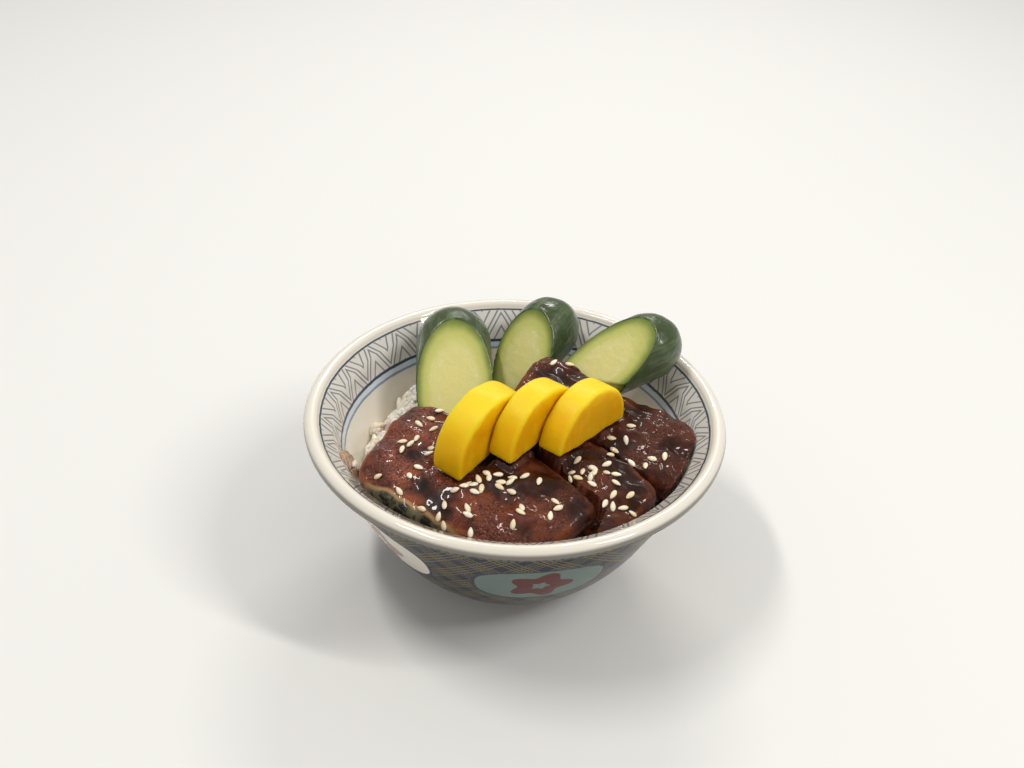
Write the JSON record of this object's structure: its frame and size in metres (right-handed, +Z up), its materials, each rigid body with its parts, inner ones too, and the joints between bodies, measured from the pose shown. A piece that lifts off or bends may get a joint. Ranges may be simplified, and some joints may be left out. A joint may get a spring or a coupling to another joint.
{
  "type": "grilled eel on rice",
  "caption": "Round rimmed bowl filled with rice, under overlapping strips of glazed grilled eel with sesame seeds, upright half moons of yellow pickled radish and slant-cut cucumber ends.",
  "frame": {"origin": "centre of the foot ring's underside, on the surface that the bowl stands on", "axes": "+Z up along the bowl's axis; the eel strips come nearest to the rim on the -Y side, which is the front, and the cucumber ends lean towards the +Y side, which is the back; +X is to the right as seen from the front"},
  "size_m": [0.155, 0.155, 0.0912],
  "materials": {
    "porcelain": "gloss",
    "cooked_rice": "moist",
    "glazed_eel": "sticky gloss",
    "yellow_pickle": "moist",
    "cucumber": "moist"
  },
  "bodies": {
    "root": {"bowl": "porcelain", "rice": "cooked_rice", "eel_left": "glazed_eel", "eel_middle": "glazed_eel", "eel_right": "glazed_eel", "radish_left": "yellow_pickle", "radish_middle": "yellow_pickle", "radish_right": "yellow_pickle", "cucumber_left": "cucumber", "cucumber_middle": "cucumber", "cucumber_right": "cucumber"}
  },
  "joints": []
}
